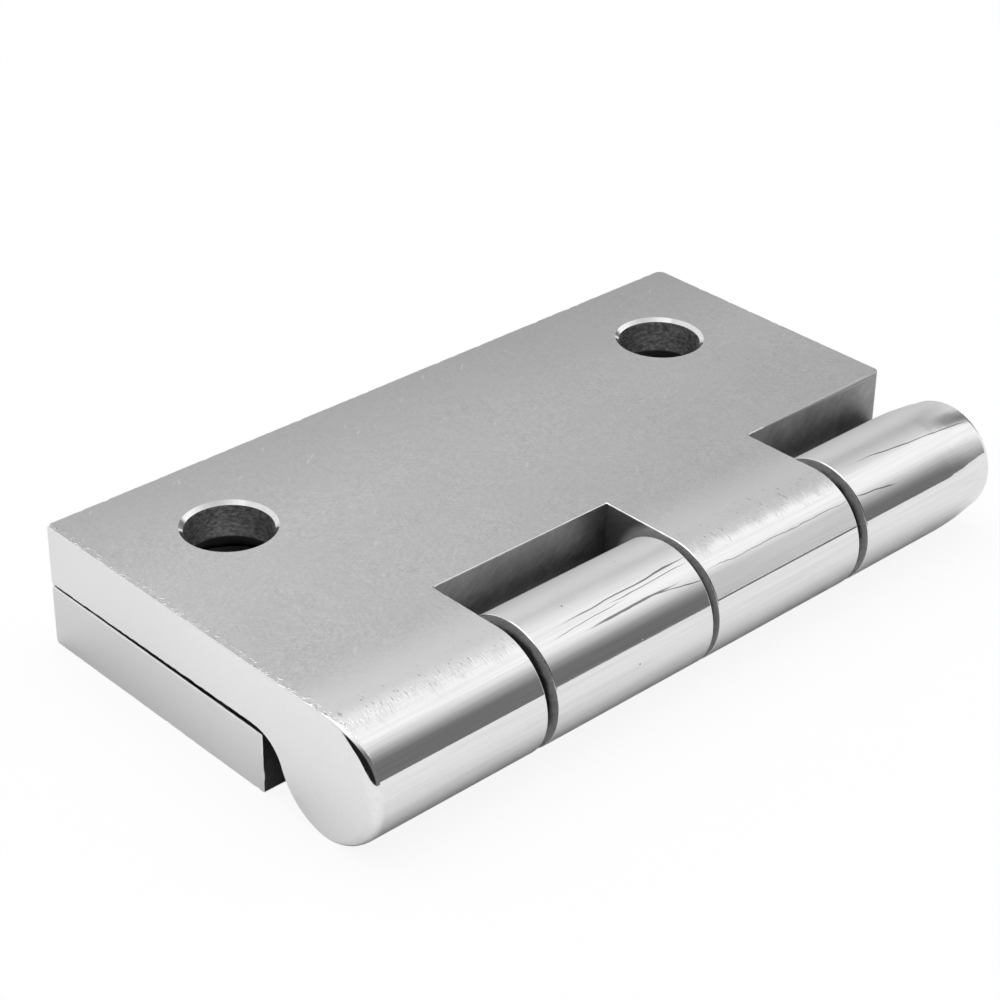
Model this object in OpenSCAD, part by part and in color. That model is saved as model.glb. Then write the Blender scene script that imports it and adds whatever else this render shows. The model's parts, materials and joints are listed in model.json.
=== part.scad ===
// Deck hinge: two cast leaves that turn on one hidden pin, drawn folded shut.
// X runs along the pin, Y from the pin to the free edges of the leaves, Z up.
// The origin is in the middle of the surface that the shut hinge lies on.

/* [Leaves] */
// Length of a leaf along the pin
leaf_length = 76; // [68:1:100]
// Distance from the pin axis to the free edge of a leaf
leaf_reach = 37.5; // [34:0.5:60]
// Gap between the inner faces at the free edges, when shut
free_gap = 0.15; // [0.1:0.05:0.4]
// Gap between the inner faces beside the knuckles, when shut
pin_gap = 0.45; // [0.4:0.05:0.8]
// Radius of the upright corners that are ground round at the far end
far_corner_r = 0.8; // [0.4:0.1:4]

/* [Knuckles] */
// Outside diameter of the knuckles; the outer faces of the leaves lie level with it
knuckle_d = 12; // [11:0.5:16]
// Gap beside the two end knuckles
end_knuckle_gap = 1.2; // [0.6:0.1:2]
// Gap between the two middle knuckles
middle_knuckle_gap = 0.8; // [0.4:0.1:2]
// Room between a knuckle and the notch wall of the other leaf
notch_clear = 2; // [1.6:0.1:4]
// Run of the hollow sweep under a knuckle arm beyond the notch wall
sweep_run = 1; // [0.5:0.1:1.1]

/* [Rounded far end] */
// How far the last knuckle stands out past the ends of the leaves
end_overhang = 1.1; // [0.3:0.1:2]
// How much longer the last knuckle is than the other three
last_knuckle_extra = 0.5; // [0:0.1:1.5]
// Length over which its barrel closes in towards the end
end_taper_length = 6; // [3:0.5:9]
// How much that takes off the radius
end_taper = 0.5; // [0.2:0.1:1]
// Radius of its rounded end edge
end_edge_r = 1.2; // [0.5:0.1:1.8]

/* [Pin] */
// Diameter of the hinge pin
pin_d = 6; // [4:0.5:7]
// Running clearance on the radius in the knuckles that turn on the pin
pin_clear = 0.05; // [0.02:0.01:0.1]
// Metal that closes off the near knuckle over the end of the pin
bore_cap = 3; // [2:0.5:6]
// Space between the end of the pin and the bottom of its bore
pin_end_gap = 0.3; // [0.1:0.1:1]

/* [Mounting holes] */
// Diameter of the screw holes
hole_d = 8; // [5:0.5:9]
// Diameter of the countersinks in the inner faces
countersink_d = 12.6; // [10.5:0.1:14]
// Bevel that is broken round each hole in the outer faces
hole_bevel = 0.35; // [0.2:0.05:0.8]
// Distance between the two screw holes of a leaf
hole_spacing = 53.3; // [40:0.1:54]
// How far the pair of holes lies off the middle of the leaf, towards the far end
hole_shift = 0.4; // [0:0.1:1]
// Distance from the free edge to the centres of the holes
hole_inset = 10.5; // [9:0.1:14]

/* [Hidden] */
$fn = 144;

// Cutters run this far past the faces that they cut
over = 1;
// The sweep runs this far into the knuckle, so the two arcs cross and don't only touch
blend = 0.01;

knuckle_r = knuckle_d / 2;
total_length = leaf_length + end_overhang;

// Knuckles from the near end to the far end, of one length apart from the last
knuckle_gaps = 2 * end_knuckle_gap + middle_knuckle_gap;
knuckle_length = (total_length - knuckle_gaps - last_knuckle_extra) / 4;
knuckle_1 = 0;
knuckle_2 = knuckle_1 + knuckle_length + end_knuckle_gap;
knuckle_3 = knuckle_2 + knuckle_length + middle_knuckle_gap;
knuckle_4 = knuckle_3 + knuckle_length + end_knuckle_gap;

// A leaf's section: distances from the pin axis, and heights of its inner face over the parting plane
notch_wall = knuckle_r + notch_clear;
inner_at_pin = pin_gap / 2;
inner_at_edge = free_gap / 2;

// The hollow sweep is an arc that starts level with the inner face and lands on the knuckle
sweep_start = notch_wall + sweep_run;
sweep_r = (sweep_start ^ 2 + inner_at_pin ^ 2 - knuckle_r ^ 2) / (2 * (knuckle_r + inner_at_pin));

// The last arm's outer face is eased down to the closed-in barrel, by this slope from the sweep inwards
ease_angle = atan(end_taper / sweep_start);

running_bore_d = pin_d + 2 * pin_clear;
hole_y = leaf_reach - hole_inset;

// Draws a section of distances and heights along the pin, from one place to another
module along_pin(from, to) {
    translate([from, 0, 0])
    rotate([90, 0, 90])
    linear_extrude(to - from)
    children();
}

// Stands a round shape on the pin axis, pointing along it
module on_pin(from) {
    translate([from, 0, 0])
    rotate([0, 90, 0])
    children();
}

// Section of the plate of a leaf, a hair thinner at the knuckles than at the free edge
module plate_section() {
    polygon([
        [notch_wall, knuckle_r],
        [leaf_reach, knuckle_r],
        [leaf_reach, inner_at_edge],
        [sweep_start, inner_at_pin],
        [notch_wall, inner_at_pin],
    ]);
}

// Section of the arm that joins a knuckle to its plate: flat outside, swept hollow inside
module arm_section() {
    difference() {
        polygon([
            [0, 0],
            [0, knuckle_r],
            [sweep_start, knuckle_r],
            [sweep_start, inner_at_pin - sweep_r],
        ]);
        translate([sweep_start, inner_at_pin - sweep_r])
        circle(sweep_r + blend);
    }
}

// A knuckle with its arm and square ends
module square_knuckle(from) {
    along_pin(from, from + knuckle_length) {
        circle(knuckle_r);
        arm_section();
    }
}

// Half section of the last knuckle, whose barrel closes in and ends in a rounded edge
module rounded_barrel_section(length) {
    end_r = knuckle_r - end_taper;
    taper_from = length - end_edge_r - end_taper_length;
    bow_r = (end_taper_length ^ 2 + end_taper ^ 2) / (2 * end_taper);
    square([knuckle_r, taper_from]);
    intersection() {
        translate([0, taper_from])
        square([knuckle_r, end_taper_length]);
        translate([knuckle_r - bow_r, taper_from])
        circle(bow_r, $fn = 720);
    }
    translate([0, length - end_edge_r])
    square([end_r - end_edge_r, end_edge_r]);
    intersection() {
        translate([0, length - end_edge_r])
        square([end_r, end_edge_r]);
        translate([end_r - end_edge_r, length - end_edge_r])
        circle(end_edge_r);
    }
}

// What the closing-in barrel leaves of a straight one, taken off the arm beside it as well
module barrel_waste_section(length) {
    taper_from = length - end_edge_r - end_taper_length;
    difference() {
        translate([knuckle_r - end_taper - end_edge_r, taper_from])
        square([end_taper + end_edge_r + over, length - taper_from]);
        rounded_barrel_section(length);
    }
}

// The last knuckle: a rounded barrel, on an arm whose outer face eases down to it
module rounded_knuckle(from) {
    length = total_length - from;
    on_pin(from)
    rotate_extrude()
    rounded_barrel_section(length);
    difference() {
        along_pin(from, leaf_length)
        arm_section();
        rotate([ease_angle, 0, 0])
        translate([from, sweep_start + over, 0])
        rotate([90, 0, 0])
        linear_extrude(sweep_start + 2 * over)
        mirror([1, -1, 0])
        barrel_waste_section(length);
    }
}

// The corner of metal that is ground away to round an upright corner
module corner_waste(r) {
    difference() {
        square(r + over);
        circle(r);
    }
}

// Rounds the upright corner at the far end, at a distance from the pin; side is 1 outwards, -1 inwards
module round_far_corner(distance, side) {
    translate([leaf_length - far_corner_r, distance - side * far_corner_r, -over])
    mirror([0, side < 0 ? 1 : 0, 0])
    linear_extrude(knuckle_r + 2 * over)
    corner_waste(far_corner_r);
}

// A screw hole: bevelled in the outer face and countersunk from the inner face
module screw_hole() {
    sink = (countersink_d - hole_d) / 2;
    translate([0, 0, -over])
    cylinder(h = knuckle_r + 2 * over, d = hole_d);
    translate([0, 0, knuckle_r - hole_bevel])
    cylinder(h = hole_bevel + over, d1 = hole_d, d2 = hole_d + 2 * (hole_bevel + over));
    translate([0, 0, inner_at_pin - over])
    cylinder(h = sink + over, d1 = countersink_d + 2 * over, d2 = hole_d);
}

// The plate of a leaf over its whole length, with its two holes
module plate() {
    difference() {
        along_pin(0, leaf_length)
        plate_section();
        round_far_corner(leaf_reach, 1);
        for (side = [-1, 1])
            translate([leaf_length / 2 + hole_shift + side * hole_spacing / 2, hole_y, 0])
            screw_hole();
    }
}

// Moves what is drawn round the near end of the pin axis to its place on the ground
module place() {
    translate([-total_length / 2, (knuckle_r - leaf_reach) / 2, knuckle_r])
    children();
}

// The leaf that lies below: second and last knuckles, with the pin fixed in the last
module lower_leaf() {
    color("lightgray")
    place()
    difference() {
        mirror([0, 0, 1])
        union() {
            plate();
            square_knuckle(knuckle_2);
            rounded_knuckle(knuckle_4);
        }
        on_pin(knuckle_2 - over)
        cylinder(h = knuckle_length + 2 * over, d = running_bore_d);
        on_pin(knuckle_4 - over)
        cylinder(h = total_length - knuckle_4 + 2 * over, d = pin_d);
    }
}

// The leaf that turns: first and third knuckles, with the first closed over the end of the pin
module upper_leaf() {
    color("silver")
    place()
    difference() {
        union() {
            difference() {
                plate();
                round_far_corner(notch_wall, -1);
            }
            square_knuckle(knuckle_1);
            square_knuckle(knuckle_3);
        }
        on_pin(bore_cap)
        cylinder(h = knuckle_length - bore_cap + over, d = running_bore_d);
        on_pin(knuckle_3 - over)
        cylinder(h = knuckle_length + 2 * over, d = running_bore_d);
    }
}

// The pin, ground off level with the rounded end of the last knuckle
module hinge_pin() {
    pin_from = bore_cap + pin_end_gap;
    color("gray")
    place()
    on_pin(pin_from)
    cylinder(h = total_length - pin_from, d = pin_d);
}

lower_leaf();
upper_leaf();
hinge_pin();
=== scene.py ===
"""Deck hinge, cast and polished, lying folded shut: the looks built round its construction model."""

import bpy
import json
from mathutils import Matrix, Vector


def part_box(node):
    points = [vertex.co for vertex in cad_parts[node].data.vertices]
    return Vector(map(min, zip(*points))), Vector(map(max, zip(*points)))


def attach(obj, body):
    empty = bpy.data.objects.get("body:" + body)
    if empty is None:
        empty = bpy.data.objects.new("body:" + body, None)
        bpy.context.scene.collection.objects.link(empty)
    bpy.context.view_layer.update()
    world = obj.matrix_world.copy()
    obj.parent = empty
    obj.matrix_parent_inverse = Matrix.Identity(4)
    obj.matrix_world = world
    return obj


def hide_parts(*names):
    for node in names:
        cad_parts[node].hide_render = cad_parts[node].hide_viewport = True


bl_info = {
    "name": "Deck Hinge",
    "version": (1, 0, 0),
    "blender": (4, 5, 0),
    "location": "View3D > Sidebar > Deck Hinge",
    "description": "Finishes the leaves and the pin of a cast deck hinge and sets them in a studio",
    "category": "Add Mesh",
}

import json
import math
import random

import bmesh
import bpy
from bpy.props import FloatProperty, FloatVectorProperty, IntProperty, PointerProperty
from bpy.types import Operator, Panel, PropertyGroup
from mathutils import Matrix, Vector
from mathutils.kdtree import KDTree

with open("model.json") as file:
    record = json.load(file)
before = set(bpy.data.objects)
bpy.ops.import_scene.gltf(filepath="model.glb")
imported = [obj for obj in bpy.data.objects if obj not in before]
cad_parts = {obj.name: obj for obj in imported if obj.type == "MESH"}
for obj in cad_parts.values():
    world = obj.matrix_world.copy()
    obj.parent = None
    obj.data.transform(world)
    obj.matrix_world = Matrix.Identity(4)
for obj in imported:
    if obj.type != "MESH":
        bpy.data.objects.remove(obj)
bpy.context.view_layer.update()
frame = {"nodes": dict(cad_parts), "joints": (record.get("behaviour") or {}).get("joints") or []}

MM = 0.001

# The pin axis, and the sizes that follow from the boxes of the shut leaves
JOINT = frame["joints"][0]
PIN_AXIS = Vector(JOINT["pos_m"])
LOWER_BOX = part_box("lower_leaf")
UPPER_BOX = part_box("upper_leaf")
KNUCKLE_R = (LOWER_BOX[1].z - LOWER_BOX[0].z) / 2
FREE_EDGE_Y = UPPER_BOX[1].y
NEAR_END_X = UPPER_BOX[0].x
FAR_END_X = UPPER_BOX[1].x

# About where the third and the last knuckle start, and where the walls behind the knuckles stand
KNUCKLE_3_X = 0.2 * MM
KNUCKLE_4_X = 19.7 * MM
NOTCH_CLEAR = 2.0 * MM
NOTCH_WALL_Y = PIN_AXIS.y + KNUCKLE_R + NOTCH_CLEAR

# Past the first of these places a leaf has nothing but its holes, and past the second its flat plate
HOLES_FROM_Y = PIN_AXIS.y + 10 * MM
PLATE_FROM_Y = PIN_AXIS.y + 12 * MM

# Edges that lie this near to the parting plane belong to the inner faces
INNER_BAND = 0.06 * KNUCKLE_R


class HingeShape(PropertyGroup):
    """How the edges of the castings are rounded"""

    edge_break: FloatProperty(
        name="Edge break",
        description="How far the sharp edges of the castings are broken",
        default=0.09 * MM,
        min=0.05 * MM,
        max=0.4 * MM,
        unit="LENGTH",
    )
    rim_round: FloatProperty(
        name="Rim rounding",
        description="Radius of the buffed rim round the closed end of the first knuckle",
        default=0.85 * MM,
        min=0.1 * MM,
        max=1.2 * MM,
        unit="LENGTH",
    )
    notch_round: FloatProperty(
        name="Notch rounding",
        description="Radius that the edge of the open notch has been worn to at its far end",
        default=0.55 * MM,
        min=0.1 * MM,
        max=1.0 * MM,
        unit="LENGTH",
    )
    corner_round: FloatProperty(
        name="Corner rounding",
        description="Radius of the upright corners at the free edges, at the near end",
        default=0.32 * MM,
        min=0.1 * MM,
        max=0.4 * MM,
        unit="LENGTH",
    )
    edge_segments: IntProperty(
        name="Edge segments",
        description="Faces across a broken edge",
        default=4,
        min=1,
        max=6,
    )
    edge_step: FloatProperty(
        name="Edge step",
        description="Length of the short stretches of edge that are broken by differing amounts",
        default=0.45 * MM,
        min=0.2 * MM,
        max=4 * MM,
        unit="LENGTH",
    )
    nick_share: FloatProperty(
        name="Nicks",
        description="Share of those stretches that carries a nick",
        default=0.09,
        min=0,
        max=0.3,
        subtype="FACTOR",
    )
    edge_seed: IntProperty(
        name="Edge seed",
        description="Seed for the unevenness of the edges",
        default=7,
        min=0,
    )


class HingeFinish(PropertyGroup):
    """Colours and roughness of the steel"""

    ground_colour: FloatVectorProperty(
        name="Ground steel",
        description="Colour of the steel where it is ground to a satin",
        default=(0.60, 0.60, 0.60),
        subtype="COLOR",
        min=0,
        max=1,
    )
    buffed_colour: FloatVectorProperty(
        name="Buffed steel",
        description="Colour of the steel where it is buffed bright",
        default=(0.77, 0.77, 0.77),
        subtype="COLOR",
        min=0,
        max=1,
    )
    cast_colour: FloatVectorProperty(
        name="Cast skin",
        description="Colour of the steel that was left as cast",
        default=(0.36, 0.36, 0.36),
        subtype="COLOR",
        min=0,
        max=1,
    )
    polish_roughness: FloatProperty(
        name="Polish roughness",
        description="Roughness of the buffed knuckles",
        default=0.045,
        min=0.02,
        max=0.5,
        subtype="FACTOR",
    )
    satin_roughness: FloatProperty(
        name="Satin roughness",
        description="Roughness of the ground outer faces",
        default=0.30,
        min=0.05,
        max=0.7,
        subtype="FACTOR",
    )


class HingeStage(PropertyGroup):
    """The studio floor and the camera"""

    floor_colour: FloatVectorProperty(
        name="Floor",
        description="Colour of the studio floor",
        default=(0.92, 0.92, 0.92),
        subtype="COLOR",
        min=0,
        max=1,
    )
    lens: FloatProperty(
        name="Lens",
        description="Focal length of the camera",
        default=92.09,
        min=20,
        max=300,
        subtype="DISTANCE_CAMERA",
    )
    camera_azimuth: FloatProperty(
        name="Camera azimuth",
        description="Direction that the camera stands in, from straight in front of the knuckles",
        default=math.radians(-43.43),
        subtype="ANGLE",
    )
    camera_elevation: FloatProperty(
        name="Camera elevation",
        description="Height of the camera over the horizon",
        default=math.radians(30.895),
        subtype="ANGLE",
    )
    camera_roll: FloatProperty(
        name="Camera roll",
        description="Turn of the camera about its own axis",
        default=math.radians(0.918),
        subtype="ANGLE",
    )
    camera_distance: FloatProperty(
        name="Camera distance",
        description="Distance from the camera to the point that it looks at",
        default=236.1 * MM,
        min=50 * MM,
        unit="LENGTH",
    )
    camera_target: FloatVectorProperty(
        name="Camera target",
        description="Point in the parting plane that the camera looks at",
        default=(0.42 * MM, 6.13 * MM, 6.0 * MM),
        subtype="XYZ",
    )


def add_node(tree, kind, inputs=None, **settings):
    """Adds a shader node; an input is given a value, or the socket that feeds it."""
    made = tree.nodes.new(kind)
    for key, value in settings.items():
        setattr(made, key, value)
    for key, value in (inputs or {}).items():
        if isinstance(value, bpy.types.NodeSocket):
            tree.links.new(value, made.inputs[key])
        else:
            made.inputs[key].default_value = value
    return made


def new_material(name):
    """An empty node material and its output node."""
    material = bpy.data.materials.new(name)
    material.use_nodes = True
    tree = material.node_tree
    tree.nodes.clear()
    return material, tree, add_node(tree, "ShaderNodeOutputMaterial")


def rgba(colour):
    """A colour with its alpha."""
    return (*colour, 1.0)


def object_place(tree, scale=(1, 1, 1), turn=(0, 0, 0), offset=(0, 0, 0)):
    """Object coordinates, stretched, turned and moved for a texture."""
    place = add_node(tree, "ShaderNodeTexCoord").outputs["Object"]
    turned = add_node(tree, "ShaderNodeMapping", {"Vector": place, "Rotation": turn}).outputs[0]
    return add_node(
        tree,
        "ShaderNodeMapping",
        {"Vector": turned, "Scale": scale, "Location": offset},
    ).outputs["Vector"]


def noise(tree, place, scale, detail=3, rough=0.55):
    """Values of a noise texture, with features of about one metre over scale."""
    return add_node(
        tree,
        "ShaderNodeTexNoise",
        {"Vector": place, "Scale": scale, "Detail": detail, "Roughness": rough},
    ).outputs["Fac"]


def remap(tree, value, low, high, to_low, to_high, smooth=False):
    """Maps a range of values to another, held at its ends."""
    return add_node(
        tree,
        "ShaderNodeMapRange",
        {"Value": value, "From Min": low, "From Max": high, "To Min": to_low, "To Max": to_high},
        interpolation_type="SMOOTHSTEP" if smooth else "LINEAR",
    ).outputs["Result"]


def combine(tree, operation, first, second):
    """Joins two values that vary over the surface."""
    return add_node(tree, "ShaderNodeMath", {0: first, 1: second}, operation=operation).outputs[0]


def times(tree, first, second):
    """Product of two values."""
    return combine(tree, "MULTIPLY", first, second)


def in_frame(tree):
    """Places along, across and up the hinge, by the names X, Y and Z."""
    return add_node(tree, "ShaderNodeSeparateXYZ", {"Vector": object_place(tree)}).outputs


def off_parting(tree):
    """Distance from the plane in which the leaves part."""
    return combine(tree, "ABSOLUTE", combine(tree, "SUBTRACT", in_frame(tree)["Z"], PIN_AXIS.z), 0.0)


def relief(tree, height, depth, normal=None):
    """A bump of that depth in metres, laid over an earlier one."""
    inputs = {"Height": height, "Distance": depth, "Strength": 1.0}
    if normal is not None:
        inputs["Normal"] = normal
    return add_node(tree, "ShaderNodeBump", inputs).outputs["Normal"]


def tinted(tree, value, low, high, dark, light):
    """Colour between two tones by a value."""
    ramp = add_node(tree, "ShaderNodeValToRGB", {"Fac": value})
    ramp.color_ramp.elements[0].position = low
    ramp.color_ramp.elements[0].color = rgba(dark)
    ramp.color_ramp.elements[1].position = high
    ramp.color_ramp.elements[1].color = rgba(light)
    return ramp.outputs["Color"]


def steel_shader(tree, output, colour, roughness, normal, metallic=1.0):
    """Bare metal with the given surface, joined to the material's output; less metallic where dusty."""
    shader = add_node(
        tree,
        "ShaderNodeBsdfPrincipled",
        {"Base Color": colour, "Metallic": metallic, "Roughness": roughness, "Normal": normal},
    )
    tree.links.new(shader.outputs["BSDF"], output.inputs["Surface"])


def round_the_pin(tree):
    """Places along the pin, turns about it from the top towards the front, and distances from it."""
    to_pin = (0, -PIN_AXIS.y, -PIN_AXIS.z)
    centred = object_place(tree, offset=to_pin)
    parts = add_node(tree, "ShaderNodeSeparateXYZ", {"Vector": centred}).outputs
    turn = combine(tree, "ARCTAN2", times(tree, parts["Y"], -1.0), parts["Z"])
    reach = add_node(
        tree,
        "ShaderNodeVectorMath",
        {0: object_place(tree, (0, 1, 1), offset=to_pin)},
        operation="LENGTH",
    ).outputs["Value"]
    return parts["X"], turn, reach


def band(tree, value, low, high, soft):
    """One between two values and nought outside them, with soft ends."""
    rise = remap(tree, value, low - soft, low + soft, 0.0, 1.0, smooth=True)
    fall = remap(tree, value, high - soft, high + soft, 1.0, 0.0, smooth=True)
    return times(tree, rise, fall)


def blend(tree, factor, first, second):
    """One value turning into another."""
    return add_node(
        tree,
        "ShaderNodeMix",
        {"Factor": factor, "A": first, "B": second},
    ).outputs["Result"]


def blend_colour(tree, factor, first, second):
    """One colour turning into another."""
    return add_node(
        tree,
        "ShaderNodeMix",
        {"Factor": factor, 6: first, 7: second},
        data_type="RGBA",
    ).outputs[2]


# Directions in which the plate was sanded, each with the seed of its strokes
SANDING_STROKES = ((0.35, 0.11), (1.25, 0.37), (-0.75, 0.73))


def sanding(tree):
    """Fine marks of sanding by hand: short strokes in directions that change from patch to patch."""
    total = None
    for turn, seed in SANDING_STROKES:
        place = object_place(tree, (1.0, 0.2, 1.0), (0, 0, turn), (seed, seed, 0))
        strokes = noise(tree, place, scale=5200, detail=2, rough=0.6)
        strokes = combine(tree, "SUBTRACT", strokes, 0.5)
        patch = noise(tree, object_place(tree, offset=(seed, 0, seed)), scale=170, detail=1)
        strokes = times(tree, strokes, remap(tree, patch, 0.4, 0.6, 0.2, 1.0))
        total = strokes if total is None else combine(tree, "ADD", total, strokes)
    return remap(tree, total, -0.4, 0.4, 0.0, 1.0)


# Share of a line's length over which it fades at each end
SEAM_FADE = 0.2


def seam(tree, along, turn, wobble, start, end, width):
    """A thin line from one place and turn to another, fading out at its ends; turns in degrees."""
    (x0, turn0), (x1, turn1) = start, end
    path = remap(tree, along, x0, x1, math.radians(turn0), math.radians(turn1))
    off = times(tree, combine(tree, "SUBTRACT", turn, path), KNUCKLE_R)
    off = combine(tree, "ABSOLUTE", combine(tree, "ADD", off, wobble), 0.0)
    ends = band(tree, along, x0, x1, SEAM_FADE * (x1 - x0))
    reach = remap(tree, ends, 0, 1, 0, width)
    return times(tree, ends, combine(tree, "LESS_THAN", off, reach))


def pitting(tree, scale, share, seed):
    """A few small pits, strewn unevenly."""
    spots = add_node(
        tree,
        "ShaderNodeTexVoronoi",
        {"Vector": object_place(tree, offset=(seed, 0, 0)), "Scale": scale},
    ).outputs["Distance"]
    few = noise(tree, object_place(tree, offset=(0, seed, 0)), scale=0.45 * scale, detail=1)
    kept = remap(tree, few, 0.62 - share, 0.66 - share, 0, 1)
    return times(tree, remap(tree, spots, 0.06, 0.10, 1, 0), kept)


# Where the satin plate gives way to the buffed knuckles, and how far that border strays
SATIN_FROM_Y = PIN_AXIS.y - 3.0 * MM
SATIN_TO_Y = PIN_AXIS.y - 1.3 * MM
HAIR_STRAY = 0.8 * MM
DRIFT_STRAY = 0.6 * MM

# How much of the satin is sanding marks, and how much its roughness varies
SANDED_SHARE = 0.38
SATIN_SPREAD = 0.015

# The flat on the third knuckle: its turns about the pin, those over which it swings, its roughness
FLAT_FROM = math.radians(44)
FLAT_TO = math.radians(65.5)
FLAT_SOFT = math.radians(0.6)
FLAT_TURN_FROM = math.radians(46.5)
FLAT_TURN_TO = math.radians(70)
FLAT_ROUGHNESS = 0.10

# The line over that flat: start, end (place along the pin, turn), half width
FLAT_LINE = ((KNUCKLE_3_X, 40.5), (KNUCKLE_3_X + 19 * MM, 43.5), 0.045 * MM)

# Stretch that draws a texture out into polishing lines along the pin
ALONG_THE_PIN = (0.025, 1.0, 1.0)


def satin_share(tree, across, hair):
    """One on the satin plate and nought on the buffed knuckles, with a ragged border between them."""
    drift = noise(tree, object_place(tree, (1.0, 0.4, 0.4)), scale=420, detail=2)
    single = remap(tree, hair, 0.25, 0.75, -HAIR_STRAY, HAIR_STRAY)
    broad = remap(tree, drift, 0.3, 0.7, -DRIFT_STRAY, DRIFT_STRAY)
    edge = combine(tree, "ADD", across, combine(tree, "ADD", single, broad))
    return remap(tree, edge, SATIN_FROM_Y, SATIN_TO_Y, 0.0, 1.0, smooth=True)


def ground_shade(tree, tone, across, worked):
    """The satin plate's colour: paler over the pin as a painted highlight, darker to the free edge as
    painted shade, and a little scratched.
    """
    shade = tinted(tree, worked, 0.25, 0.75, tone * 0.84, tone * 1.16)
    # Painted highlight: a band over the pin is painted paler.
    highlight_fade = remap(tree, across, PIN_AXIS.y, PIN_AXIS.y + 6 * MM, 0.8, 0.0, smooth=True)
    highlight_rise = remap(tree, across, PIN_AXIS.y - 2.2 * MM, PIN_AXIS.y, 0.0, 1.0, smooth=True)
    shade = blend_colour(tree, times(tree, highlight_fade, highlight_rise), shade, rgba(tone * 1.35))
    # Painted shade: the plate is painted darker towards the free edge.
    edge_shade = remap(tree, across, FREE_EDGE_Y - 14 * MM, FREE_EDGE_Y, 0.0, 0.6)
    shade = blend_colour(tree, edge_shade, shade, rgba(tone * 0.68))
    slanted = object_place(tree, (1.0, 0.2, 1.0), (0, 0, 0.9), (0.5, 0, 0))
    scratched = noise(tree, slanted, scale=1500, detail=2)
    scratched = remap(tree, scratched, 0.68, 0.74, 0.0, 0.5)
    return blend_colour(tree, scratched, shade, rgba(tone * 1.25))


def dark_specks(tree, across, satin):
    """Pits in the satin, and fine dark flecks along its border."""
    pits = times(tree, pitting(tree, 2600, 0.05, 0.3), satin)
    flecks = object_place(tree, (1.0, 0.3, 0.3), offset=(0.3, 0, 0))
    flecks = noise(tree, flecks, scale=4600, detail=2)
    border = band(tree, across, PIN_AXIS.y - 2.6 * MM, PIN_AXIS.y + 0.4 * MM, 0.7 * MM)
    flecks = times(tree, remap(tree, flecks, 0.64, 0.72, 0.0, 0.8), border)
    return combine(tree, "MAXIMUM", pits, flecks)


def dressed_flat(tree, along, turn):
    """Where the third knuckle was dressed flat, and the rise that makes its round look so."""
    third = combine(tree, "GREATER_THAN", along, KNUCKLE_3_X - 0.4 * MM)
    share = band(tree, turn, FLAT_FROM, FLAT_TO, FLAT_SOFT)
    share = times(tree, share, third)
    swing = remap(tree, turn, FLAT_TURN_FROM, FLAT_TURN_TO, 0.0, FLAT_TURN_TO - FLAT_TURN_FROM)
    return share, times(tree, times(tree, swing, swing), share)


def long_line(tree, along, turn):
    """The long line over the dressed flat."""
    wander = noise(tree, object_place(tree, (0.5, 1, 1)), scale=900, detail=4)
    wobble = remap(tree, wander, 0.3, 0.7, -0.10 * MM, 0.10 * MM)
    start, end, width = FLAT_LINE
    return seam(tree, along, turn, wobble, start, end, width)


def near_burrs(tree, along):
    """Small burrs along the rim of the near end."""
    burrs = noise(tree, object_place(tree, offset=(0, 0.4, 0)), scale=1500, detail=3, rough=0.7)
    rim = remap(tree, along, NEAR_END_X + 0.3 * MM, NEAR_END_X + 1.0 * MM, 1.0, 0.0, smooth=True)
    return times(tree, remap(tree, burrs, 0.52, 0.68, 0.0, 1.0), rim)


def outer_steel(finish):
    """Outer faces of the upper leaf: satin on the plate, buffed bright round its two knuckles."""
    material, tree, output = new_material("outer_steel")
    place = object_place(tree)
    along, turn, _ = round_the_pin(tree)
    across = in_frame(tree)["Y"]
    hair = noise(tree, object_place(tree, (1.0, 0.17, 0.17)), scale=6200, detail=3, rough=0.65)
    satin = satin_share(tree, across, hair)

    grain = noise(tree, place, scale=3600, detail=4, rough=0.75)
    worked = blend(tree, SANDED_SHARE, grain, sanding(tree))
    tone = Vector(finish.ground_colour)
    ground = ground_shade(tree, tone, across, worked)
    cloud = noise(tree, place, scale=95, detail=3)
    least = finish.satin_roughness - SATIN_SPREAD
    most = finish.satin_roughness + SATIN_SPREAD
    clouded = remap(tree, cloud, 0.35, 0.65, least, most)

    lines = noise(tree, object_place(tree, ALONG_THE_PIN), scale=3200, detail=3)
    bright = Vector(finish.buffed_colour)
    buffed = tinted(tree, lines, 0.30, 0.60, bright * 0.93, bright * 1.03)
    flat, rise = dressed_flat(tree, along, turn)
    buffed = blend_colour(tree, long_line(tree, along, turn), buffed, rgba(bright * 0.5))

    gloss = blend(tree, flat, finish.polish_roughness, FLAT_ROUGHNESS)
    gloss = blend(tree, satin, gloss, clouded)
    colour = blend_colour(tree, satin, buffed, ground)
    colour = blend_colour(tree, dark_specks(tree, across, satin), colour, rgba(tone * 0.5))
    normal = relief(tree, times(tree, worked, satin), 0.006 * MM)
    normal = relief(tree, times(tree, hair, satin), 0.003 * MM, normal)
    normal = relief(tree, near_burrs(tree, along), 0.06 * MM, normal)
    steel_shader(tree, output, colour, gloss, relief(tree, rise, KNUCKLE_R / 2, normal))
    return material


# Long lines left in the buffed knuckles: start, end (place along the pin, turn), half width
SEAMS = (
    ((-15.0 * MM, 24.3), (-0.6 * MM, 20.3), 0.07 * MM),
    ((-10.0 * MM, 27.5), (-0.8 * MM, 25.8), 0.05 * MM),
    ((-13.0 * MM, 38.6), (-3.6 * MM, 38.4), 0.12 * MM),
    ((-6.5 * MM, 38.0), (-0.3 * MM, 46.0), 0.06 * MM),
    ((-17.0 * MM, 33.0), (-9.0 * MM, 30.5), 0.03 * MM),
    ((22.5 * MM, 16.5), (38.0 * MM, 29.0), 0.05 * MM),
    ((19.8 * MM, 43.0), (24.5 * MM, 50.0), 0.07 * MM),
)

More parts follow.
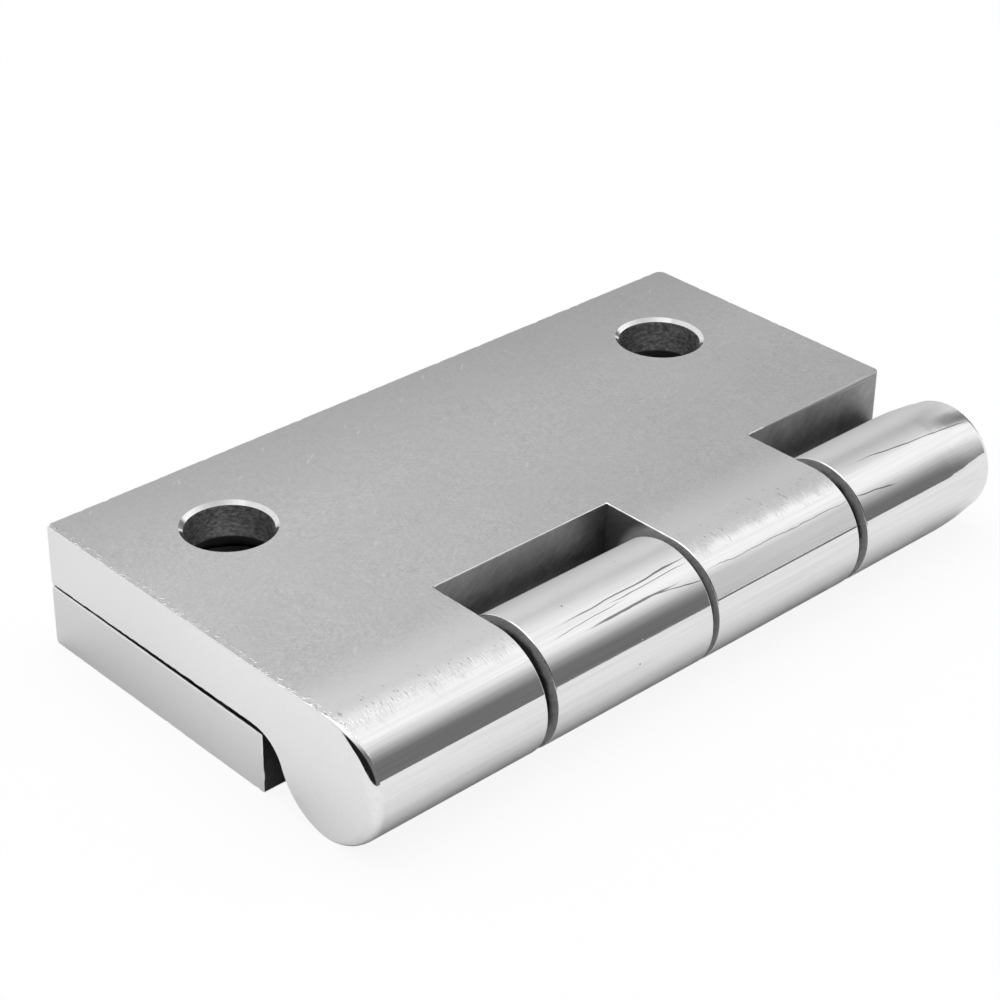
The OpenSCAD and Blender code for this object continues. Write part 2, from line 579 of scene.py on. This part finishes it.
# The lower leaf's knuckles: tone and roughness on top, roughness and bare metal at the dull back
DULLED_TONE = 1.34
TOP_ROUGHNESS = 0.24
BACK_ROUGHNESS = 0.60
BACK_METAL = 0.15


def dull_shaded_back(tree, turn):
    """One on the dull side of a barrel towards the leaf, nought in front and underneath; that side is
    rougher and less metallic, and painted darker as painted shade.
    """
    back = remap(tree, turn, -0.45, 0.15, 1.0, 0.0, smooth=True)
    return times(tree, back, remap(tree, turn, -2.4, -1.5, 0.0, 1.0, smooth=True))


def long_lines(tree, along, turn):
    """All the long lines left in the lower leaf's knuckles."""
    wander = noise(tree, object_place(tree, (0.25, 1, 1)), scale=420, detail=3)
    wobble = remap(tree, wander, 0.3, 0.7, -0.22 * MM, 0.22 * MM)
    lines = None
    for start, end, width in SEAMS:
        line = seam(tree, along, turn, wobble, start, end, width)
        lines = line if lines is None else combine(tree, "MAXIMUM", lines, line)
    return lines


def buffed_steel(finish):
    """Knuckles of the lower leaf: buffed along the pin, with a few long lines and pits left in, and
    painted shade on the dull back towards the leaf.
    """
    material, tree, output = new_material("buffed_steel")
    along, turn, _ = round_the_pin(tree)
    lines = noise(tree, object_place(tree, ALONG_THE_PIN), scale=2600, detail=3)
    tone = Vector(finish.buffed_colour)
    shade = tinted(tree, lines, 0.30, 0.60, tone * 0.92, tone * 1.02)

    cloud = noise(tree, object_place(tree, (0.4, 1, 1)), scale=500, detail=3)
    shifted = combine(tree, "ADD", turn, remap(tree, cloud, 0.3, 0.7, -0.06, 0.06))
    top = remap(tree, shifted, 0.17, 0.40, 1.0, 0.0, smooth=True)
    back = dull_shaded_back(tree, turn)
    dulled = Vector(finish.ground_colour) * DULLED_TONE
    matt = tinted(tree, cloud, 0.3, 0.7, dulled * 0.97, dulled * 1.03)
    # Painted shade: the dull back of the barrel, towards the leaf, is painted darker.
    matt = blend_colour(tree, back, matt, rgba(dulled * 0.6))
    closing = remap(tree, along, FAR_END_X - 5 * MM, FAR_END_X + 0.5 * MM, 0.0, 0.6)
    back = combine(tree, "MAXIMUM", back, times(tree, closing, top))
    shade = blend_colour(tree, top, shade, matt)

    pits = pitting(tree, 900, 0.0, 0.7)
    marks = combine(tree, "MAXIMUM", long_lines(tree, along, turn), pits)
    shade = blend_colour(tree, marks, shade, rgba(tone * 0.28))

    satin = remap(tree, back, 0, 1, TOP_ROUGHNESS, BACK_ROUGHNESS)
    polish = remap(tree, lines, 0.3, 0.7, finish.polish_roughness, 0.08)
    gloss = blend(tree, top, polish, satin)
    normal = relief(tree, pits, -0.02 * MM, relief(tree, lines, 0.002 * MM))
    metal = remap(tree, back, 0, 1, 1.0, BACK_METAL)
    steel_shader(tree, output, shade, gloss, normal, metal)
    return material


def end_steel(finish, share):
    """Ends and edges of the leaves, ground smooth, with painted light and shade: a lighter tone on the
    upper leaf, a darker one on the lower, and darker towards the free edge.
    """
    material, tree, output = new_material("end_steel")
    place = object_place(tree)
    grain = noise(tree, place, scale=4200, detail=3, rough=0.6)
    tone = Vector(finish.buffed_colour) * share
    colour = tinted(tree, grain, 0.3, 0.7, tone * 0.97, tone * 1.03)
    # Painted shade: the ends are painted darker towards the free edge.
    outer = remap(tree, in_frame(tree)["Y"], PLATE_FROM_Y, FREE_EDGE_Y, 0.0, 1.0)
    colour = blend_colour(tree, outer, colour, rgba(tone * 0.87))
    gloss = remap(tree, noise(tree, place, scale=260), 0.3, 0.7, 0.16, 0.24)
    steel_shader(tree, output, colour, gloss, relief(tree, grain, 0.003 * MM))
    return material


# How much of a knuckle's side is bare metal, and not grime
SIDE_METAL = 0.5


def side_steel(finish):
    """Sides of the knuckles: lighter along their rims as painted light, and dark deeper in as painted
    shade in the gaps between the knuckles.
    """
    material, tree, output = new_material("side_steel")
    _, _, reach = round_the_pin(tree)
    cuts = object_place(tree, (1.0, 0.15, 1.0), (0.6, 0, 0))
    cuts = noise(tree, cuts, scale=3000, detail=3)
    uneven = noise(tree, object_place(tree), scale=700)
    uneven = remap(tree, uneven, 0.3, 0.7, -0.2 * MM, 0.2 * MM)
    near_rim = combine(tree, "ADD", reach, uneven)
    rim = remap(tree, near_rim, KNUCKLE_R - 1.3 * MM, KNUCKLE_R - 0.6 * MM, 0.0, 1.0, smooth=True)
    rim_light_fade = remap(tree, reach, KNUCKLE_R + 0.2 * MM, KNUCKLE_R + 1.2 * MM, 1.0, 0.2, smooth=True)
    tone = Vector(finish.cast_colour)
    # Painted shade deeper in the gap, and painted light along the rim, fading out towards the arm.
    raw = tinted(tree, cuts, 0.3, 0.7, tone * 0.12, tone * 0.22)
    worked = tinted(tree, cuts, 0.3, 0.7, tone * 1.7, tone * 2.1)
    gloss = remap(tree, cuts, 0.3, 0.7, 0.34, 0.46)
    colour = blend_colour(tree, times(tree, rim, rim_light_fade), raw, worked)
    steel_shader(tree, output, colour, gloss, relief(tree, cuts, 0.01 * MM), SIDE_METAL)
    return material


def painted_wall_light(tree, parts, height):
    """How much painted light reaches down the notch walls from their outer edges, least at the far end.
    """
    middle = remap(tree, parts["X"], KNUCKLE_3_X - 4 * MM, KNUCKLE_3_X + 1 * MM, 1.0, 0.15, smooth=True)
    beside = combine(tree, "LESS_THAN", parts["Y"], HOLES_FROM_Y)
    outer = times(tree, beside, remap(tree, height, 0.2 * MM, 4.6 * MM, 0.0, 1.0))
    return times(tree, outer, middle)


def with_holes(tree, finish, colour, parts, height):
    """The colour of the walls with that of the holes added: countersinks painted dark as painted shade,
    and bores mottled and painted lighter as painted light.
    """
    tone = Vector(finish.cast_colour)
    skin = noise(tree, object_place(tree, (1.0, 1.0, 1.8)), scale=1900, detail=5, rough=0.7)
    skin = tinted(tree, skin, 0.38, 0.66, tone * 0.9, tone * 2.6)
    in_hole = combine(tree, "GREATER_THAN", parts["Y"], HOLES_FROM_Y)
    # Painted shade: the holes are painted dark, which stays in the countersinks.
    colour = blend_colour(tree, in_hole, colour, rgba(tone * 0.5))
    above_sink = remap(tree, height, 2.2 * MM, 2.6 * MM, 0.0, 1.0, smooth=True)
    # Painted light: the bores above the countersinks are painted lighter than the walls' cast skin.
    return blend_colour(tree, times(tree, in_hole, above_sink), colour, skin)


def cast_steel(finish, share):
    """Walls that were left as cast, in the notches and the holes, with painted light towards the notch
    walls' outer edges and painted shade in the countersinks.
    """
    material, tree, output = new_material("cast_steel")
    slanted = object_place(tree, (0.55, 1.0, 1.5), (0, math.radians(38), 0))
    lumps = noise(tree, slanted, scale=1500, detail=4, rough=0.6)
    pits = noise(tree, object_place(tree), scale=4200, detail=3)
    broad = noise(tree, object_place(tree), scale=260, detail=2)
    parts = in_frame(tree)
    height = off_parting(tree)
    tone = Vector(finish.cast_colour) * share
    mottled = blend(tree, 0.5, lumps, broad)
    raw = tinted(tree, mottled, 0.35, 0.65, tone * 0.75, tone * 1.2)
    far = remap(tree, parts["X"], FAR_END_X - 7 * MM, FAR_END_X, 0.0, 0.75)
    raw = blend_colour(tree, far, raw, rgba(tone * 0.5))
    # Painted light: the notch walls are painted lighter towards their outer edges.
    buffed = tinted(tree, mottled, 0.35, 0.65, tone * 1.1, tone * 1.5)
    colour = blend_colour(tree, painted_wall_light(tree, parts, height), raw, buffed)
    colour = with_holes(tree, finish, colour, parts, height)
    gloss = remap(tree, pits, 0.3, 0.7, 0.36, 0.52)
    rough = relief(tree, pits, 0.008 * MM, relief(tree, lumps, 0.03 * MM))
    steel_shader(tree, output, colour, gloss, rough)
    return material


def edge_steel(finish, inner_shade):
    """Broken edges, worn bright, apart from the far notch's satin one and those of the inner face,
    which take painted shade, near black on the upper leaf in the gap between the leaves.
    """
    material, tree, output = new_material("edge_steel")
    wear = noise(tree, object_place(tree), scale=2400, detail=3)
    tone = Vector(finish.buffed_colour)
    colour = tinted(tree, wear, 0.35, 0.6, tone * 0.99, tone * 1.05)
    gloss = remap(tree, wear, 0.3, 0.7, 0.06, 0.11)
    parts = in_frame(tree)
    beside_wall = band(tree, parts["Y"], NOTCH_WALL_Y - 0.8 * MM, NOTCH_WALL_Y + 0.8 * MM, 0.1 * MM)
    far_notch = combine(tree, "GREATER_THAN", parts["X"], KNUCKLE_4_X + 1 * MM)
    worn = times(tree, beside_wall, far_notch)
    colour = blend_colour(tree, worn, colour, rgba(Vector(finish.ground_colour) * 0.75))
    # Painted shade: the edges of the inner face are painted darker, near black on the upper leaf in the
    # gap between the leaves.
    inner = combine(tree, "LESS_THAN", off_parting(tree), INNER_BAND)
    in_leaf = combine(tree, "GREATER_THAN", parts["Y"], PIN_AXIS.y + KNUCKLE_R)
    colour = blend_colour(tree, times(tree, inner, in_leaf), colour, rgba(tone * inner_shade))
    gloss = blend(tree, worn, gloss, finish.satin_roughness + 0.15)
    steel_shader(tree, output, colour, gloss, relief(tree, wear, 0.002 * MM))
    return material


def pin_steel(finish):
    """The drawn steel of the pin, with fine rings from turning."""
    material, tree, output = new_material("pin_steel")
    rings = noise(tree, object_place(tree, (1.0, 0.05, 0.05)), scale=5200, detail=2)
    tone = Vector(finish.buffed_colour)
    colour = tinted(tree, rings, 0.3, 0.7, tone * 0.86, tone)
    gloss = remap(tree, rings, 0.3, 0.7, 0.16, 0.26)
    steel_shader(tree, output, colour, gloss, relief(tree, rings, 0.004 * MM))
    return material


# The finishes of a leaf, in the order of its materials
OUTER, BUFFED, END, SIDE, CAST, EDGE = range(6)

# How bright the ends, the raw walls and the inner edges of each leaf are: painted light and shade,
# lighter on the upper leaf's ends and walls and darker on the lower's, and near black on the upper
# leaf's inner edges
UPPER_END_LIT_TONE = 1.08
LOWER_END_SHADED_TONE = 0.94
UPPER_WALL_LIT_TONE = 1.1
LOWER_WALL_SHADED_TONE = 0.22
UPPER_INNER_SHADED_TONE = 0.06
LOWER_INNER_TONE = 1.0

# Points as near as this are one, faces as level as this are one, and edges sharper than this are sharp
WELD_DISTANCE = 0.0002 * MM
LEVEL_ANGLE = math.radians(0.06)
SHARP_ANGLE = math.radians(20)

# A broken edge runs straight on where it turns by less than this
STRAIGHT_ANGLE = math.radians(1)

# Margins of a plate, inside which there are only holes
PLATE_MARGIN = 0.6 * MM
FAR_MARGIN = 0.9 * MM

# Edges within this distance of the pin axis belong to the bores
BORE_REACH = 0.7 * KNUCKLE_R

# The rounded end of the last knuckle, where nothing is broken: its depth, and its reach from the pin
ROUND_END_DEPTH = 0.3 * MM
ROUND_END_REACH = 1.5 * KNUCKLE_R

# The buffed rim of the near end: turns at which it sets in and ends, and its run-outs, in degrees
RIM_FROM = 2
RIM_RUN_IN = 48
RIM_TO = 180
RIM_RUN_OUT = 45

# Where the wear of the open notch's edge runs out, before the far end
NOTCH_RUN_OUT = 3 * MM
NOTCH_WORN_TO_X = FAR_END_X - 1.2 * MM
NOTCH_WALL_NEAR = 0.3 * MM

# Unevenness of the broken edges, size of their nicks, and how much more the inner ones are broken
UNEVEN = (0.75, 1.25)
NICK = (1.3, 2.2)
INNER_GROWTH = 1.6

# A corner this near to a face lies on it, and one moves what lies within this many edge breaks
ON_FACE = 0.01 * MM
CORNER_REACH = 1.6

# How squarely a face has to face a direction to belong to it, and below which it stands across it
FACING = 0.9
ACROSS = 0.5

# Outer faces lie higher over the pin axis than the first, and barrels between the other two from it
OUTER_HEIGHT = 0.9 * KNUCKLE_R
BARREL_FROM = 0.85 * KNUCKLE_R
BARREL_TO = 1.015 * KNUCKLE_R

# The flat ring round the pin in the rounded end: how squarely it faces, and its radius
RING_FACING = 0.98
RING_REACH = 0.52 * KNUCKLE_R

# Faces this near to the end or the free edge of a leaf belong to it
END_DEPTH = 0.5 * MM

# How far the rims of the pin are cut off
PIN_CHAMFER = 0.2 * MM


def welded_copy(node):
    """A mesh in working form with the faces of a construction piece, as few and as large as they go."""
    work = bmesh.new()
    work.from_mesh(frame["nodes"][node].data)
    bmesh.ops.remove_doubles(work, verts=work.verts, dist=WELD_DISTANCE)
    bmesh.ops.dissolve_limit(
        work,
        angle_limit=LEVEL_ANGLE,
        verts=work.verts,
        edges=work.edges,
    )
    return work


def in_plate(point):
    """Whether a point lies inside the outline of the plates, where only the holes are."""
    along = NEAR_END_X + PLATE_MARGIN < point.x < FAR_END_X - FAR_MARGIN
    return along and PLATE_FROM_Y < point.y < FREE_EDGE_Y - PLATE_MARGIN


def is_broken(edge, upper):
    """Whether a sharp edge is broken: all outer ones are, but not those of the holes and bores."""
    middle = (edge.verts[0].co + edge.verts[1].co) / 2
    radial = math.hypot(middle.y - PIN_AXIS.y, middle.z - PIN_AXIS.z)
    if in_plate(middle) or radial < BORE_REACH or not edge.is_convex:
        return False
    return upper or middle.x < FAR_END_X - ROUND_END_DEPTH or radial > ROUND_END_REACH


def is_straight(vertex, broken):
    """Whether the broken edge runs straight on through a vertex."""
    edges = [e for e in vertex.link_edges if e in broken]
    if len(edges) != 2:
        return False
    first, second = (e.other_vert(vertex).co - vertex.co for e in edges)
    return first.angle(-second) < STRAIGHT_ANGLE


def runs_on(vertex, broken):
    """Whether the broken edge runs straight on through a vertex and its two neighbours."""
    ring = [vertex] + [e.other_vert(vertex) for e in vertex.link_edges if e in broken]
    return all(is_straight(v, broken) for v in ring)


def held(share):
    """A share kept between nought and one."""
    return min(1, max(0, share))


def rim_growth(out):
    """How far the near rim's rounding has grown at a place round the pin, from nought to one."""
    turn = math.degrees(math.atan2(-out.y, out.z))
    return held((turn - RIM_FROM) / RIM_RUN_IN) * held((RIM_TO - turn) / RIM_RUN_OUT)


def notch_growth(along):
    """How far the wear of the open notch's edge has grown at a place along the pin."""
    share = (along - KNUCKLE_4_X) / (FAR_END_X - KNUCKLE_4_X)
    return share * held((NOTCH_WORN_TO_X - along) / NOTCH_RUN_OUT)


def rounding_at(point, straight, shape, upper, dice):
    """How much wider than usual the broken edge is at a point."""
    out = point - PIN_AXIS
    at_near_end = point.x < NEAR_END_X + ON_FACE
    if upper and at_near_end and out.y < 0:
        return 1 + (shape.rim_round / shape.edge_break - 1) * rim_growth(out)
    if at_near_end and point.y > FREE_EDGE_Y - ON_FACE:
        return shape.corner_round / shape.edge_break
    if not straight:
        return 1
    uneven = dice.uniform(*UNEVEN) * (INNER_GROWTH if abs(out.z) < INNER_BAND else 1)
    if dice.random() < shape.nick_share:
        uneven = dice.uniform(*NICK)
    on_wall = abs(point.y - NOTCH_WALL_Y) < NOTCH_WALL_NEAR and out.z > OUTER_HEIGHT
    if upper and on_wall and point.x > KNUCKLE_4_X:
        return 1 + (shape.notch_round / shape.edge_break - 1) * notch_growth(point.x)
    return uneven


def cut_into_steps(work, shape, upper):
    """Marks the sharp edges, and cuts those that will be broken into short stretches."""
    for edge in [e for e in work.edges if e.calc_face_angle(0) > SHARP_ANGLE]:
        edge.smooth = False
        cuts = int(edge.calc_length() / shape.edge_step) - 1
        if cuts > 0 and is_broken(edge, upper):
            bmesh.ops.bisect_edges(work, edges=[edge], cuts=cuts)


def uneven_corners(broken, shape, upper):
    """The corners along the broken edges, and how much wider than usual the edge is at each."""
    dice = random.Random(shape.edge_seed)
    vertices = {v for e in broken for v in e.verts}
    corners = sorted((tuple(v.co), runs_on(v, broken)) for v in vertices)
    tree = KDTree(len(corners))
    factors = []
    for index, (place, straight) in enumerate(corners):
        tree.insert(place, index)
        factors.append(rounding_at(Vector(place), straight, shape, upper, dice))
    tree.balance()
    return tree, factors


def break_edges(work, shape, upper):
    """Rounds off the sharp edges, unevenly where they run straight and more round the buffed rim."""
    cut_into_steps(work, shape, upper)
    broken = {e for e in work.edges if not e.smooth and is_broken(e, upper)}
    corners, factors = uneven_corners(broken, shape, upper)
    bmesh.ops.bevel(
        work,
        geom=list(broken),
        offset=shape.edge_break,
        offset_type="OFFSET",
        segments=shape.edge_segments,
        profile=0.5,
        affect="EDGES",
        clamp_overlap=False,
        loop_slide=False,
        material=EDGE,
    )
    for vertex in work.verts:
        corner, index, distance = corners.find(vertex.co)
        if distance < CORNER_REACH * shape.edge_break:
            vertex.co = corner + (vertex.co - corner) * factors[index]


def leaf_finish_of(face, upper):
    """Which finish a face of a leaf has, by where it is and how it faces."""
    centre = face.calc_center_median()
    out = centre - PIN_AXIS
    normal = face.normal
    radial = math.hypot(out.y, out.z)
    outward = normal.z if upper else -normal.z
    past_ring = abs(normal.x) < RING_FACING and radial > RING_REACH
    if not upper and centre.x > FAR_END_X and past_ring:
        return BUFFED
    if in_plate(centre) and abs(normal.z) < ACROSS:
        return CAST
    if abs(normal.x) > FACING:
        near_end = centre.x < NEAR_END_X + END_DEPTH
        far_end = centre.x > FAR_END_X - END_DEPTH
        return END if near_end or far_end else SIDE
    if in_plate(centre) and ACROSS < outward < FACING:
        return EDGE
    if outward > FACING and abs(out.z) > OUTER_HEIGHT and out.y > -KNUCKLE_R:
        return OUTER
    straight_out = normal.y * out.y + normal.z * out.z > FACING * radial
    if BARREL_FROM < radial < BARREL_TO and straight_out:
        return OUTER if upper else BUFFED
    if centre.y > FREE_EDGE_Y - END_DEPTH:
        return END
    return END if outward < -FACING else CAST


def add_piece(name, work, materials, body, node):
    """Makes the finished piece from the working mesh, gives it its material slots and its body, and
    hides the construction node.
    """
    mesh = bpy.data.meshes.new(name)
    work.to_mesh(mesh)
    work.free()
    for polygon in mesh.polygons:
        polygon.use_smooth = True
    for material in materials:
        mesh.materials.append(material)
    piece = bpy.data.objects.new(name, mesh)
    bpy.context.scene.collection.objects.link(piece)
    weighted = piece.modifiers.new("weighted_normals", "WEIGHTED_NORMAL")
    weighted.mode = "FACE_AREA"
    weighted.weight = 50
    weighted.keep_sharp = True
    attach(piece, body)
    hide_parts(node)


def build_leaf(context, node, body, upper):
    """A leaf: the casting with its edges broken and each face in its own finish."""
    shape = context.scene.hinge_shape
    finish = context.scene.hinge_finish
    work = welded_copy(node)
    for face in work.faces:
        face.material_index = leaf_finish_of(face, upper)
    break_edges(work, shape, upper)
    materials = [
        outer_steel(finish),
        buffed_steel(finish),
        # Painted light and shade: the upper leaf's ends, walls and inner edges are painted in other
        # tones than the lower leaf's.
        end_steel(finish, UPPER_END_LIT_TONE if upper else LOWER_END_SHADED_TONE),
        side_steel(finish),
        cast_steel(finish, UPPER_WALL_LIT_TONE if upper else LOWER_WALL_SHADED_TONE),
        edge_steel(finish, UPPER_INNER_SHADED_TONE if upper else LOWER_INNER_TONE),
    ]
    add_piece(node + "_finished", work, materials, body, node)


class HINGE_OT_lower_leaf(Operator):
    """Finishes the leaf that lies below, with the second and the last knuckle"""

    bl_idname = "hinge.lower_leaf"
    bl_label = "Lower leaf"

    def execute(self, context):
        build_leaf(context, "lower_leaf", "fixed_leaf", upper=False)
        return {"FINISHED"}


class HINGE_OT_upper_leaf(Operator):
    """Finishes the leaf that turns, with the first and the third knuckle"""

    bl_idname = "hinge.upper_leaf"
    bl_label = "Upper leaf"

    def execute(self, context):
        build_leaf(context, "upper_leaf", "moving_leaf", upper=True)
        return {"FINISHED"}


class HINGE_OT_pin(Operator):
    """Finishes the hinge pin"""

    bl_idname = "hinge.pin"
    bl_label = "Hinge pin"

    def execute(self, context):
        work = welded_copy("hinge_pin")
        rims = [e for e in work.edges if e.calc_face_angle(0) > SHARP_ANGLE]
        bmesh.ops.bevel(work, geom=rims, offset=PIN_CHAMFER, segments=1, affect="EDGES")
        for edge in work.edges:
            edge.smooth = edge.calc_face_angle(0) < SHARP_ANGLE
        add_piece(
            "hinge_pin_finished",
            work,
            [pin_steel(context.scene.hinge_finish)],
            "fixed_leaf",
            "hinge_pin",
        )
        return {"FINISHED"}


def seen_by_camera(tree):
    """One where a ray comes straight from the camera."""
    return add_node(tree, "ShaderNodeLightPath").outputs["Is Camera Ray"]


WHITE = (1, 1, 1)

# The floor's side, how far it lies under the hinge, and how much of the backdrop is seen through it
FLOOR_SIZE = 12.0
FLOOR_DROP = 0.02 * MM
FLOOR_VEIL = 0.9

# The walls: the lightest one, how far they turn from dark to light, and both ends of that
LIGHT_WALL = (-0.6, 0.8, 0.0)
WALL_TURN = 0.6
WALL_GREY = 0.20
WALL_LIGHT = 0.92

# The ceiling, which is tilted: where it points, where it sets in, and how white it is
CEILING_TILT = (0.30, -0.178, 0.984)
CEILING_FROM = 0.685
CEILING_TO = 1.025
CEILING_WHITE = 1.16

# How low that ceiling comes on the side of the knuckles, and how softly the two halves meet
FRONT_TILT = (0.297, 0.774, 0.56)
FRONT_FROM = -0.249
FRONT_TO = 0.325
FRONT_SOFT = 0.1

# The brightest part of the ceiling, over the hinge and a little behind it
PANEL_SIDE = (0.0, 0.22, 0.975)
PANEL_FROM = 0.86
PANEL_TO = 0.95
PANEL_WHITE = 1.75

# Where the dark screen beside the camera stands, and how much of the room it covers
SCREEN_SIDE = (-0.80, -0.58, 0.15)
SCREEN_FROM = 0.68
SCREEN_TO = 0.76
SCREEN_DARK = 0.015


def floor_material(colour):
    """White floor that keeps the object's shadow faintly, with the white backdrop seen through it."""
    material, tree, output = new_material("studio_floor")
    matt = add_node(tree, "ShaderNodeBsdfDiffuse", {"Color": rgba(colour)}).outputs[0]
    clear = add_node(tree, "ShaderNodeBsdfTransparent").outputs[0]
    veil_share = times(tree, seen_by_camera(tree), FLOOR_VEIL)
    shares = {0: veil_share, 1: matt, 2: clear}
    seen = add_node(tree, "ShaderNodeMixShader", shares).outputs["Shader"]
    tree.links.new(seen, output.inputs["Surface"])
    return material


def add_floor(colour):
    """A wide plain floor just under the hinge."""
    mesh = bpy.data.meshes.new("studio_floor")
    half = FLOOR_SIZE / 2
    corners = [(-half, -half, 0), (half, -half, 0), (half, half, 0), (-half, half, 0)]
    mesh.from_pydata(corners, [], [(0, 1, 2, 3)])
    mesh.materials.append(floor_material(colour))
    floor = bpy.data.objects.new("studio_floor", mesh)
    floor.location.z = LOWER_BOX[0].z - FLOOR_DROP
    bpy.context.scene.collection.objects.link(floor)


def facing(tree, direction, towards):
    """How nearly a direction points towards another one."""
    return add_node(
        tree,
        "ShaderNodeVectorMath",
        {0: direction, 1: towards},
        operation="DOT_PRODUCT",
    ).outputs["Value"]


def share_towards(tree, direction, towards, low, high, most=1.0):
    """Grows from nought as a direction points more nearly towards another one."""
    return remap(tree, facing(tree, direction, towards), low, high, 0.0, most, smooth=True)


def room_light(tree, direction):
    """Brightness of the room by direction."""
    side = facing(tree, direction, LIGHT_WALL)
    wall = remap(tree, side, -WALL_TURN, WALL_TURN, WALL_GREY, WALL_LIGHT, smooth=True)
    ceiling = share_towards(tree, direction, CEILING_TILT, CEILING_FROM, CEILING_TO)
    lowered = share_towards(tree, direction, FRONT_TILT, FRONT_FROM, FRONT_TO)
    behind = facing(tree, direction, (0, 1, 0))
    front = remap(tree, behind, -FRONT_SOFT, FRONT_SOFT, 1.0, 0.0, smooth=True)
    ceiling = blend(tree, front, ceiling, lowered)
    panel = share_towards(tree, direction, PANEL_SIDE, PANEL_FROM, PANEL_TO, PANEL_WHITE)
    room = combine(tree, "ADD", blend(tree, ceiling, wall, CEILING_WHITE), panel)
    screen = share_towards(tree, direction, SCREEN_SIDE, SCREEN_FROM, SCREEN_TO)
    return blend(tree, screen, room, SCREEN_DARK)


def background(tree, strength):
    """A white background of the given strength."""
    inputs = {"Color": rgba(WHITE), "Strength": strength}
    return add_node(tree, "ShaderNodeBackground", inputs).outputs["Background"]


def set_world():
    """A plain studio room with a white ceiling, grey walls and a dark screen, and white to the eye."""
    world = bpy.data.worlds.new("studio_room")
    world.use_nodes = True
    tree = world.node_tree
    tree.nodes.clear()
    output = add_node(tree, "ShaderNodeOutputWorld")
    direction = add_node(tree, "ShaderNodeTexCoord").outputs["Generated"]
    walls = background(tree, room_light(tree, direction))
    white = background(tree, 1.0)
    shares = {0: seen_by_camera(tree), 1: walls, 2: white}
    mixed = add_node(tree, "ShaderNodeMixShader", shares).outputs["Shader"]
    tree.links.new(mixed, output.inputs["Surface"])
    bpy.context.scene.world = world


# The camera's sensor in millimetres, and the nearest and farthest that it sees
SENSOR_WIDTH = 36.0
CLIP_START = 10 * MM
CLIP_END = 50.0


def add_camera(stage):
    """The camera, at the angle from which the hinge is usually pictured."""
    data = bpy.data.cameras.new("camera")
    data.lens = stage.lens
    data.sensor_width = SENSOR_WIDTH
    data.clip_start = CLIP_START
    data.clip_end = CLIP_END
    camera = bpy.data.objects.new("camera", data)
    azimuth = stage.camera_azimuth
    elevation = stage.camera_elevation
    back = Vector((
        math.sin(azimuth) * math.cos(elevation),
        -math.cos(azimuth) * math.cos(elevation),
        math.sin(elevation),
    ))
    level = back.to_track_quat("Z", "Y").to_matrix()
    turn = level @ Matrix.Rotation(stage.camera_roll, 3, "Z")
    place = Vector(stage.camera_target) + back * stage.camera_distance
    camera.matrix_world = Matrix.Translation(place) @ turn.to_4x4()
    bpy.context.scene.collection.objects.link(camera)
    bpy.context.scene.camera = camera


class HINGE_OT_stage(Operator):
    """Sets the floor, the room round the hinge and the camera"""

    bl_idname = "hinge.stage"
    bl_label = "Studio"

    def execute(self, context):
        stage = context.scene.hinge_stage
        add_floor(stage.floor_colour)
        set_world()
        add_camera(stage)
        context.scene.view_settings.view_transform = "Standard"
        return {"FINISHED"}


class HINGE_PT_panel(Panel):
    """Sizes, finishes and building steps of the deck hinge"""

    bl_idname = "HINGE_PT_panel"
    bl_label = "Deck Hinge"
    bl_space_type = "VIEW_3D"
    bl_region_type = "UI"
    bl_category = "Deck Hinge"

    def draw(self, context):
        for name in GROUPS:
            group = getattr(context.scene, name)
            box = self.layout.box()
            for key in type(group).__annotations__:
                box.prop(group, key)
        for operator in OPERATORS:
            self.layout.operator(operator.bl_idname)


OPERATORS = (HINGE_OT_lower_leaf, HINGE_OT_upper_leaf, HINGE_OT_pin, HINGE_OT_stage)
GROUPS = {"hinge_shape": HingeShape, "hinge_finish": HingeFinish, "hinge_stage": HingeStage}
CLASSES = (*GROUPS.values(), *OPERATORS, HINGE_PT_panel)


def register():
    for cls in CLASSES:
        bpy.utils.register_class(cls)
    for key, group in GROUPS.items():
        setattr(bpy.types.Scene, key, PointerProperty(type=group))


def unregister():
    for key in GROUPS:
        delattr(bpy.types.Scene, key)
    for cls in reversed(CLASSES):
        bpy.utils.unregister_class(cls)


def main():
    """Builds the pieces and the stage."""
    register()
    bpy.ops.hinge.lower_leaf()
    bpy.ops.hinge.upper_leaf()
    bpy.ops.hinge.pin()
    bpy.ops.hinge.stage()


if __name__ == "__main__":
    main()
